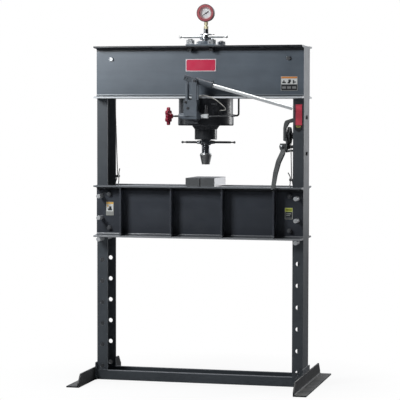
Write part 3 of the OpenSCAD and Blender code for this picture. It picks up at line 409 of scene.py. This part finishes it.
def rope_finish():
    """Steel wire with a diagonal twist."""
    material, s, shader = begin("rope wire", metallic=1.0, rough=0.4)
    stains = s.ramp(s.noise(40.0, 5.0, 0.65), 0.4, 0.75, 0.0, 0.5)
    wave = s.node("ShaderNodeTexWave", {"Vector": s.place(), "Scale": 90.0},
                  wave_type="BANDS", bands_direction="DIAGONAL").outputs["Fac"]
    s.feed(shader, Base_Color=s.mix(stains, rgb(0.42, 0.42, 0.41), rgb(0.16, 0.15, 0.14)),
           Normal=s.bump(wave, 0.5, 0.0004))
    return material


def gauge_glass():
    """Clear glass with a slight unevenness."""
    material, s, shader = begin("gauge glass", rough=0.03)
    s.feed(shader, Base_Color=rgb(0.97, 0.98, 1), Transmission_Weight=1.0, IOR=1.3,
           Normal=s.bump(s.noise(30.0, 1.0), 0.02, 0.0002))
    return material


def flange_light_and_shade(node, top_toe, under, slope, root, low_toe):
    """Bands of painted light and shade on a channel: the upper toe, the painted shade under it, and the lower
    slope, root and toe.
    """
    low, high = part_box(node)
    bands = [(high.z - 11 * MM, high.z - 0.2 * MM, top_toe), (high.z - 30 * MM, high.z - 11 * MM, under),
             (low.z + 11 * MM, low.z + 17 * MM, slope), (low.z + 18 * MM, low.z + 22 * MM, root),
             (low.z - MM, low.z + 10.5 * MM, low_toe)]
    return [(low.x - MM, high.x + MM, lower, upper, colour) for lower, upper, colour in bands]


def tie_top_highlight():
    """Painted highlight along the base channel's upper edge."""
    low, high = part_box("base_tie")
    return [(low.x, high.x, high.z - 4 * MM, high.z + MM, (0.22, 0.23, 0.25))]


def pump_base_shade():
    """Painted shade on the lowest part of the pump's casting."""
    low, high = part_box("pump_body")
    return [(low.x - MM, high.x + MM, low.z - MM, low.z + 26 * MM, (0.028, 0.031, 0.036))]


def block_light_and_shade():
    """Painted highlight on the press blocks' right end and painted shade on their top."""
    low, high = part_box("press_blocks")
    skin = 0.5 * MM
    return [(high.x - skin, high.x + MM, low.z, high.z, (0.7, 0.7, 0.71)),
            (low.x - MM, high.x + MM, high.z - skin, high.z + MM, (0.09, 0.09, 0.095))]


# One frame paint in three tones as painted light and shade: the lightest, for the head and other frame parts,
# is painted light; the darkest, for the bed, and the middle one, for the columns and base channel, are
# painted shade.
FRAME_LIT_GREY, BED_SHADE_GREY, COLUMN_SHADE_GREY = (0.106, 0.128, 0.154), (0.034, 0.039, 0.05), (0.055, 0.063, 0.072)

FRAME_PAINT = paint("frame paint", FRAME_LIT_GREY)
# Head: painted shade on the upper toe, under it and on the lower slope, and painted highlights on the lower
# root and toe.
HEAD_PAINT = paint("head paint", FRAME_LIT_GREY, fields=flange_light_and_shade(
    "front_head_channel", top_toe=(0.014, 0.016, 0.02), under=(0.024, 0.027, 0.032),
    slope=(0.03, 0.034, 0.04), root=(0.26, 0.28, 0.3), low_toe=(0.6, 0.62, 0.64)))
# Bed: painted highlights on the upper toe and on the lower slope, root and toe, and painted shade under the
# upper toe.
BED_PAINT = paint("bed paint", BED_SHADE_GREY, 0.42, fields=flange_light_and_shade(
    "front_bed_channel", top_toe=(0.14, 0.15, 0.16), under=(0.014, 0.016, 0.02),
    slope=(0.07, 0.075, 0.085), root=(0.2, 0.205, 0.215), low_toe=(0.26, 0.265, 0.275)))
COLUMN_PAINT = paint("column paint", COLUMN_SHADE_GREY, 0.46, coat=0.25)
TIE_PAINT = paint("tie paint", COLUMN_SHADE_GREY, 0.46, coat=0.25, fields=tie_top_highlight())
FOOT_PAINT = paint("foot paint", (0.012, 0.013, 0.014), 0.5, coat=0.0, dust=0.9, tone=0.7)
CYLINDER_PAINT = paint("cylinder paint", (0.032, 0.034, 0.038), 0.27, coat=0.0)
HOIST_PAINT = paint("hoist paint", (0.085, 0.09, 0.09), 0.6, coat=0.0)
LEVER_PAINT = cast("lever casting", (0.05, 0.06, 0.072), (0.2, 0.22, 0.25), wear=0.3)
PUMP_PAINT = cast("pump casting", (0.1, 0.117, 0.138), (0.26, 0.28, 0.3), fields=pump_base_shade())

HANDLE_STEEL = plated("handle plate", (0.9, 0.92, 0.92), 0.5)
NUT_STEEL = plated("nut steel", (0.14, 0.145, 0.155))
PIN_STEEL = plated("pin plate", (0.62, 0.63, 0.64))
BRIGHT = bare_steel("bright steel", (0.6, 0.61, 0.62))
CHROME = bare_steel("chrome plate", (0.5, 0.51, 0.53), 0.18, (40, 40, 40), stain=0.06, bump=0.04)
NOSE_STEEL = bare_steel("nose steel", (0.7, 0.7, 0.69), 0.36, stain=0.3)
DARK_STEEL = bare_steel("dark machined steel", (0.1, 0.1, 0.105), 0.34, (60, 60, 700), stain=0.3)
STEM_STEEL = bare_steel("stem steel", (0.16, 0.16, 0.165), 0.24, (60, 60, 700), stain=0.3)
BLOCK_STEEL = bare_steel("ground block steel", (0.24, 0.245, 0.25), 0.42, (500, 30, 500), stain=0.3,
                         fields=block_light_and_shade())
BRASS = bare_steel("brass fitting", (0.62, 0.56, 0.36), 0.36, (80, 80, 400))

BLACK = gloss("black enamel", (0.016, 0.016, 0.018), 0.3)
RED = gloss("red enamel", (0.25, 0.01, 0.032), 0.3)
NEEDLE_BLACK = gloss("needle black", (0.02, 0.02, 0.02), 0.5, rounded=0)
PALE_TUBE = gloss("pale tube", (0.5, 0.49, 0.45), 0.35)
ZINC_TUBE = gloss("zinc tube", (0.2, 0.205, 0.21), 0.35)

FINISH = {
    "frame_paint": FRAME_PAINT, "pump_paint": PUMP_PAINT, "bright_steel": BRIGHT, "chrome": CHROME,
    "dark_steel": DARK_STEEL, "block_steel": BLOCK_STEEL, "black_steel": BLACK, "bronze": BRASS,
    "red_paint": RED, "name_plate": name_plate_finish(), "dial": dial_finish(), "needle": NEEDLE_BLACK,
    "lens": gauge_glass(), "head_label": head_label_finish(), "bed_label": bed_label_finish(),
    "tag": tag_finish(), "pale_tube": PALE_TUBE, "rope": rope_finish(),
}
NODE_FINISH = {
    "front_head_channel": HEAD_PAINT, "rear_head_channel": HEAD_PAINT,
    "front_bed_channel": BED_PAINT, "rear_bed_channel": BED_PAINT, "bed_ribs": BED_PAINT,
    "left_column": COLUMN_PAINT, "right_column": COLUMN_PAINT, "base_tie": TIE_PAINT,
    "left_foot": FOOT_PAINT, "right_foot": FOOT_PAINT,
    "reservoir": CYLINDER_PAINT, "press_cylinder": CYLINDER_PAINT,
    "winch_frame": HOIST_PAINT, "winch_lever": HOIST_PAINT,
    "pump_lever": LEVER_PAINT, "pump_plunger": PUMP_PAINT, "pump_handle": HANDLE_STEEL,
    "pressure_tube": ZINC_TUBE, "tube_fittings": HANDLE_STEEL,
    "bed_pins": PIN_STEEL, "bed_tie_bolts": NUT_STEEL, "plate_bolts": BLACK,
    "top_bar": NOSE_STEEL, "lower_bar": DARK_STEEL, "ram_nose": NOSE_STEEL,
    "gauge_stem": STEM_STEEL, "gauge_bezel": bezel_finish(),
}
for part in frame["record"]["subparts"]:
    data = nodes[part["node"]].data
    data.materials.clear()
    data.materials.append(NODE_FINISH.get(part["node"], FINISH[part["material_slot"]]))


# ---- making and placing small parts ----

def add_object(name, mesh, slot, body, material=None, smooth=30):
    """Makes an object from a mesh and lets it move with a body, if one is given."""
    mesh.materials.clear()
    mesh.materials.append(material or FINISH[slot])
    mesh.shade_smooth()
    mesh.set_sharp_from_angle(angle=math.radians(smooth))
    piece = bpy.data.objects.new(name, mesh)
    bpy.context.collection.objects.link(piece)
    if body:
        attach(piece, body)
    return piece


def add_piece(name, bm, slot, body, material=None):
    """Makes an object from a bmesh, with doubles merged and faces turned outwards."""
    bmesh.ops.remove_doubles(bm, verts=bm.verts, dist=1e-6)
    bmesh.ops.recalc_face_normals(bm, faces=bm.faces)
    mesh = bpy.data.meshes.new(name)
    bm.to_mesh(mesh)
    bm.free()
    return add_object(name, mesh, slot, body, material)


def add_bars(name, lines, radius, slot, body, sides, material=None, radius_at=None):
    """Round bar along each list of points, as one mesh."""
    data = bpy.data.curves.new(name, "CURVE")
    data.dimensions = "3D"
    data.bevel_depth = radius
    data.bevel_resolution = sides
    data.use_fill_caps = True
    for points in lines:
        spline = data.splines.new("POLY")
        spline.points.add(len(points) - 1)
        for i, point in enumerate(points):
            spline.points[i].co = (*point, 1.0)
            spline.points[i].radius = radius_at(i) if radius_at else 1.0
    holder = bpy.data.objects.new(name, data)
    bpy.context.collection.objects.link(holder)
    bpy.context.view_layer.update()
    mesh = bpy.data.meshes.new_from_object(holder.evaluated_get(bpy.context.evaluated_depsgraph_get()))
    mesh.name = name
    bpy.data.objects.remove(holder)
    bpy.data.curves.remove(data)
    return add_object(name, mesh, slot, body, material, smooth=60)


def along(axis, start):
    """Matrix that takes +Z to an axis and the origin to a place."""
    return Matrix.Translation(start) @ Vector(axis).to_track_quat("Z", "Y").to_matrix().to_4x4()


def add_turned(bm, profile, matrix, steps=48):
    """Turns a profile of (radius, height) points in mm about the matrix's Z axis."""
    verts = [bm.verts.new(matrix @ Vector((radius * MM, 0, height * MM))) for radius, height in profile]
    edges = [bm.edges.new(pair) for pair in zip(verts, verts[1:])]
    bmesh.ops.spin(bm, geom=verts + edges, cent=matrix.to_translation(), axis=matrix.to_3x3() @ Z,
                   angle=TURN, steps=steps, use_merge=True)


def add_hex(bm, flats, height, matrix, chamfer=1.2 * MM):
    """Hexagonal nut or bolt head with broken edges."""
    corner = flats / math.sqrt(3)
    made = bmesh.ops.create_cone(bm, cap_ends=True, segments=6, radius1=corner, radius2=corner, depth=height,
                                 matrix=matrix @ Matrix.Translation((0, 0, height / 2)))
    edges = list({e for v in made["verts"] for e in v.link_edges})
    bmesh.ops.bevel(bm, geom=edges, offset=chamfer, segments=2, profile=0.5, affect="EDGES", material=-1)


def add_thread(bm, matrix, radius, depth, pitch, length):
    """Helical ridge on a round bar."""
    steps = 24
    turns = max(1, int(length / pitch) - 1)
    inner, outer = radius - 0.2 * depth, radius + depth
    ridge = [(inner, 0), (outer, pitch * 0.35), (inner, pitch * 0.7)]
    verts = [bm.verts.new(matrix @ Vector((r, 0, h))) for r, h in ridge]
    edges = [bm.edges.new(pair) for pair in zip(verts, verts[1:] + verts[:1])]
    axis = matrix.to_3x3() @ Z
    bmesh.ops.spin(bm, geom=verts + edges, cent=matrix.to_translation(), axis=axis, angle=TURN * turns,
                   steps=steps * turns, dvec=axis * pitch / steps)


# ---- welds ----

def weld_bead(start, end):
    """Points of a weld, one ripple of about 3 mm after another."""
    start, end = Vector(start), Vector(end)
    count = max(3, round((end - start).length / (3 * MM)))
    return [start.lerp(end, i / count) for i in range(count + 1)]


def weld_ripple(i):
    """Share of a bead's radius at its i-th point."""
    return 1.0 + 0.16 * math.sin(i * 1.9) + 0.08 * math.sin(i * 0.7)


def add_rib_welds():
    """Three beads on each face of every rib: up the web and along both flanges' slopes."""
    ribs, rib_thickness = 4, 9 * MM
    web_thickness, flange_at_web = 8 * MM, 16 * MM
    toe_inset = 10 * MM
    slope_at_toe, slope_at_web = 6 * MM, 1.5 * MM
    channel_low, channel_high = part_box("front_bed_channel")
    rib_low, rib_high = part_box("bed_ribs")
    rib_step = (rib_high.x - rib_low.x - rib_thickness) / (ribs - 1)
    web, toe = channel_high.y - web_thickness, channel_low.y + toe_inset
    low, high = channel_low.z + flange_at_web, channel_high.z - flange_at_web
    lines = []
    for side in (1, -1):
        for rib in range(ribs):
            for face in (0, rib_thickness):
                x = rib_low.x + rib * rib_step + face
                lines.append(weld_bead((x, side * web, low), (x, side * web, high)))
                for edge, way in ((low, -1), (high, 1)):
                    lines.append(weld_bead((x, side * toe, edge + way * slope_at_toe),
                                           (x, side * web, edge + way * slope_at_web)))
    add_bars("rib_welds", lines, 2.6 * MM, "frame_paint", "bed", 1, BED_PAINT, weld_ripple)


def add_frame_welds():
    """Beads where the head's channels and the base channel meet the columns."""
    above_floor, past_tie = 6 * MM, 24 * MM
    head_low, head_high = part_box("front_head_channel")
    tie_low, tie_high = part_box("base_tie")
    left_inner, right_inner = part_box("left_column")[1].x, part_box("right_column")[0].x
    lines = []
    for inner, outer in ((left_inner, head_low.x), (right_inner, head_high.x)):
        for y in (head_high.y, -head_high.y):
            for z in (head_low.z, tie_high.z):
                lines.append(weld_bead((inner, y, z), (outer, y, z)))
        for y in (tie_low.y, tie_high.y):
            lines.append(weld_bead((outer, y, tie_low.z + above_floor), (outer, y, tie_high.z + past_tie)))
    add_bars("frame_welds", lines, 3 * MM, "frame_paint", "frame", 1, COLUMN_PAINT, weld_ripple)


# ---- ropes, threads and spring ----

ROPE_RADIUS = 3 * MM
WIRES, WIRE_RADIUS, WIRE_CIRCLE = 6, 1.05 * MM, 1.95 * MM
ROPE_LAY = 34 * MM                     # length in which a wire goes once round the rope
POINTS_PER_LAY = 10


def add_wire_rope(name, top, bottom, node):
    """Six wires twisted round a middle one, stretched between the frame and the bed."""
    top, bottom = Vector(top), Vector(bottom)
    axis = (bottom - top).normalized()
    side = axis.cross(Y).normalized()
    other = axis.cross(side)
    lays = (bottom - top).length / ROPE_LAY
    count = int(lays * POINTS_PER_LAY)
    lines = []
    for wire in range(WIRES):
        points = []
        for i in range(count + 1):
            angle = TURN * (i / count * lays + wire / WIRES)
            around = math.cos(angle) * side + math.sin(angle) * other
            points.append(top.lerp(bottom, i / count) + WIRE_CIRCLE * around)
        lines.append(points)
    lines.append([top, bottom])
    rope = add_bars(name, lines, WIRE_RADIUS, "rope", None, 0)
    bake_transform(rope)
    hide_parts(node)


def add_drop_ropes():
    """Each drop rope, and the two nuts of the clip under it."""
    nut_flats, nut_height, nut_chamfer, nut_aside = 7 * MM, 4 * MM, 0.6 * MM, 6 * MM
    clip_inset, clip_front, clip_below = 4 * MM, 7 * MM, 7 * MM
    bm = bmesh.new()
    for name, node in (("left_bed_rope", "left_drop_rope"), ("right_bed_rope", "right_drop_rope")):
        low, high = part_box(node)
        y = (low.y + high.y) / 2
        add_wire_rope(name, (low.x + ROPE_RADIUS, y, high.z), (high.x - ROPE_RADIUS, y, low.z), node)
        for aside in (-nut_aside, nut_aside):
            place = (high.x - clip_inset + aside, y - clip_front, low.z - clip_below)
            add_hex(bm, nut_flats, nut_height, along(FRONT, place), nut_chamfer)
    add_piece("clip_nuts", bm, "bright_steel", "bed")


def add_screw_thread():
    """Thread of the adjusting screw, from just over the nose up into the ram."""
    centre = centre_of("ram_nose")
    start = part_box("ram_nose")[1].z + 2 * MM
    bm = bmesh.new()
    add_thread(bm, along(Z, (centre.x, centre.y, start)), radius=24 * MM, depth=1.1 * MM, pitch=4 * MM,
               length=46 * MM)
    add_piece("screw_thread", bm, "chrome", "screw")


def add_plate_bolt_threads():
    """Threaded ends of the clamping plate's four bolts, over their nuts."""
    bolt_x, bolt_y = 64 * MM, 123 * MM
    centre = centre_of("ram_nose")
    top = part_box("plate_nuts")[1].z
    bm = bmesh.new()
    for x in (centre.x - bolt_x, centre.x + bolt_x):
        for y in (-bolt_y, bolt_y):
            add_thread(bm, along(Z, (x, y, top)), radius=12.7 * MM, depth=0.5 * MM, pitch=1.6 * MM,
                       length=5 * MM)
    add_piece("plate_bolt_threads", bm, "dark_steel", "frame")


def add_valve_stem_thread():
    """Thread on the release valve's stem, up to the pump's casting."""
    stem = centre_of("valve_stem")
    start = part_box("pump_body")[0].x - 25 * MM
    bm = bmesh.new()
    add_thread(bm, along(X, (start, stem.y, stem.z)), radius=5 * MM, depth=0.8 * MM, pitch=2 * MM,
               length=26 * MM)
    add_piece("valve_stem_thread", bm, "dark_steel", "release_valve")


def add_spring():
    """Return spring between the gland and the ram's head, as one fixed mesh on the frame."""
    bm = bmesh.new()
    bm.from_mesh(nodes["return_spring"].data)
    spring = add_piece("spring_coils", bm, "dark_steel", "frame")
    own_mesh(spring)
    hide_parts("return_spring")


# ---- other small parts ----

def add_hub_set_screw():
    """Set screw in the right side of the upper hub."""
    hub = centre_of("top_hub")
    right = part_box("top_hub")[1].x
    bm = bmesh.new()
    profile = [(0, 0), (4, 0), (4, 6), (7, 6.5), (7.5, 8), (7.5, 13), (6, 15), (0, 15)]
    add_turned(bm, profile, along(X, (right - 2 * MM, hub.y, hub.z + 8 * MM)), 24)
    add_piece("hub_set_screw", bm, "dark_steel", "top_hub")


def add_lever_parts():
    """Nut and washer on the hoist lever's boss, and a bright cap on its lower end."""
    low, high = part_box("winch_lever")
    boss_x, boss_front = high.x - 18.5 * MM, -22 * MM
    tip_x = high.x - 38.5 * MM
    pinion_z = centre_of("winch_pinion").z
    washer_front = boss_front + 0.5 * MM
    bm = bmesh.new()
    add_hex(bm, 17 * MM, 6 * MM, along(FRONT, (boss_x, boss_front, pinion_z)))
    add_turned(bm, [(11, 0), (11, 1.2), (0, 1.2)], along(FRONT, (boss_x, washer_front, pinion_z)), 32)
    add_piece("lever_clamp_nut", bm, "bright_steel", "hoist_lever")
    bm = bmesh.new()
    cap = [(0, -5), (6, -4), (9.4, 0), (9.4, 8), (8.4, 9)]
    down_and_forward = (0.12, -0.5, -0.9)
    add_turned(bm, cap, along(down_and_forward, (tip_x, low.y + 8 * MM, low.z + 6 * MM)), 24)
    add_piece("lever_tip", bm, "chrome", "hoist_lever")


def add_drum_flange():
    """Flange on the hoist drum, between its gear and the rope; its profile is in mm."""
    gear_thickness = 12 * MM
    bore, rim, thickness, broken = 19.3, 51, 4.5, 1
    shaft = centre_of("winch_drum")
    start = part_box("winch_drum")[0].x + gear_thickness
    profile = [(bore, 0), (rim - broken, 0), (rim, broken), (rim, thickness - broken),
               (rim - broken, thickness), (bore, thickness), (bore, 0)]
    bm = bmesh.new()
    add_turned(bm, profile, along(X, (start, shaft.y, shaft.z)), 64)
    add_piece("drum_flange", bm, "frame_paint", "drum", HOIST_PAINT)


def add_plate_rivets():
    """A round-headed rivet near each corner of the name plate."""
    inset = 7 * MM
    low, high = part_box("name_plate")
    bm = bmesh.new()
    for x in (low.x + inset, high.x - inset):
        for z in (low.z + inset, high.z - inset):
            add_turned(bm, [(2.6, 0), (2.2, 0.9), (1.2, 1.4), (0, 1.6)], along(FRONT, (x, low.y, z)), 16)
    add_piece("plate_rivets", bm, "bright_steel", "frame")


def add_oil_level_plate():
    """Curved plate on the reservoir's wall, to the right of its front."""
    inner, outer = 160.2 * MM, 161.4 * MM
    height, below_top = 13 * MM, 40 * MM
    start, sweep = math.radians(-66), math.radians(14)
    centre = centre_of("reservoir")
    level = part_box("reservoir")[1].z - below_top
    axis_foot = Vector((centre.x, centre.y, 0))
    turned = Matrix.Rotation(start, 4, "Z")
    section = [(inner, level), (outer, level), (outer, level + height), (inner, level + height)]
    bm = bmesh.new()
    face = bm.faces.new([bm.verts.new(axis_foot + turned @ Vector((r, 0, z))) for r, z in section])
    bmesh.ops.spin(bm, geom=[face], cent=axis_foot, axis=Z, angle=sweep, steps=12)
    add_piece("oil_level_plate", bm, "bright_steel", "frame")


add_rib_welds()
add_frame_welds()
add_drop_ropes()
add_screw_thread()
add_plate_bolt_threads()
add_valve_stem_thread()
add_hub_set_screw()
add_lever_parts()
add_drum_flange()
add_plate_rivets()
add_oil_level_plate()
add_spring()


# ---- camera, light and stage ----

FLOOR_HALF = 14
FLOOR_NEAR = 0.86          # share of plain white in the floor near the press


def aim(obj, yaw, pitch, roll):
    """Turns a camera that looks along +Y when level; yaw is to the left and pitch is up."""
    obj.rotation_euler = (Matrix.Rotation(math.radians(yaw), 3, "Z")
                          @ Matrix.Rotation(math.radians(90 + pitch), 3, "X")
                          @ Matrix.Rotation(math.radians(roll), 3, "Z")).to_euler()


def add_camera():
    data = bpy.data.cameras.new("camera")
    data.sensor_width = 36
    data.lens = 151.75
    data.clip_end = 60
    camera = bpy.data.objects.new("camera", data)
    bpy.context.collection.objects.link(camera)
    camera.location = (2.3588, -9.6728, 1.5549)
    aim(camera, 13.787, -2.752, 0.121)
    bpy.context.scene.camera = camera


def add_lamp(name, place, target, size, watts, colour=(1, 1, 1)):
    data = bpy.data.lights.new(name, "AREA")
    data.shape = "RECTANGLE"
    data.size, data.size_y = size
    data.energy = watts
    data.color = colour
    lamp = bpy.data.objects.new(name, data)
    bpy.context.collection.objects.link(lamp)
    lamp.location = place
    lamp.rotation_euler = (Vector(target) - Vector(place)).to_track_quat("-Z", "Y").to_euler()


def light_world():
    """White to the camera; to the press, a bright backdrop behind it and a dim room in front."""
    world = bpy.data.worlds.new("studio")
    bpy.context.scene.world = world
    world.use_nodes = True
    world.node_tree.nodes.clear()
    s = Shading(world.node_tree)
    toward = s.split(s.node("ShaderNodeTexCoord").outputs["Generated"])
    behind = s.math("MULTIPLY", s.ramp(toward["Y"], 0.25, 0.85), s.ramp(toward["Z"], -0.12, 0.06))
    colour = s.mix(behind, rgb(0.022, 0.025, 0.03), rgb(0.8, 0.83, 0.88))
    room = s.node("ShaderNodeBackground", {"Color": colour})
    white = s.node("ShaderNodeBackground", {"Color": rgb(1, 1, 1)})
    seen = s.ray("Is Camera Ray", "Is Transmission Ray")
    both = s.node("ShaderNodeMixShader", {0: seen, 1: room.outputs[0], 2: white.outputs[0]})
    s.node("ShaderNodeOutputWorld", {"Surface": both.outputs[0]})


def floor_finish():
    """Pale near the press, with its shadow, and plain white further off; dim in reflections."""
    material = bpy.data.materials.new("floor")
    material.use_nodes = True
    material.node_tree.nodes.clear()
    s = Shading(material.node_tree)
    tone = s.mix(s.ray("Is Glossy Ray"), rgb(0.82, 0.82, 0.82), rgb(0.1, 0.1, 0.105))
    lit = s.node("ShaderNodeBsdfDiffuse", {"Color": tone})
    glow = s.node("ShaderNodeEmission", {"Color": rgb(1, 1, 1)})
    far = s.node("ShaderNodeVectorMath", {0: s.place()}, operation="LENGTH").outputs["Value"]
    seen = s.ray("Is Camera Ray", "Is Transmission Ray")
    share = s.math("MULTIPLY", s.ramp(far, 0.5, 1.3, FLOOR_NEAR, 1.0), seen)
    both = s.node("ShaderNodeMixShader", {0: share, 1: lit.outputs[0], 2: glow.outputs[0]})
    s.node("ShaderNodeOutputMaterial", {"Surface": both.outputs[0]})
    return material


def add_floor():
    bm = bmesh.new()
    bmesh.ops.create_grid(bm, x_segments=1, y_segments=1, size=FLOOR_HALF)
    mesh = bpy.data.meshes.new("floor")
    bm.to_mesh(mesh)
    bm.free()
    mesh.materials.append(floor_finish())
    floor = bpy.data.objects.new("floor", mesh)
    bpy.context.collection.objects.link(floor)


bpy.context.scene.view_settings.view_transform = "Standard"
add_camera()
light_world()
add_floor()
add_lamp("key", (-1.6, -2.2, 2.7), (0, 0, 1.4), (0.9, 0.9), 70, (0.95, 0.98, 1.0))
add_lamp("left softbox", (-4.0, 0.1, 2.3), (0, 0, 1.5), (1.6, 2.2), 34, (0.93, 0.97, 1.0))
add_lamp("right softbox", (3.6, 3.8, 1.9), (0, 0, 1.5), (1.5, 1.8), 62)
add_lamp("overhead softbox", (0, -0.2, 4.6), (0, 0, 0), (2.6, 0.9), 90)
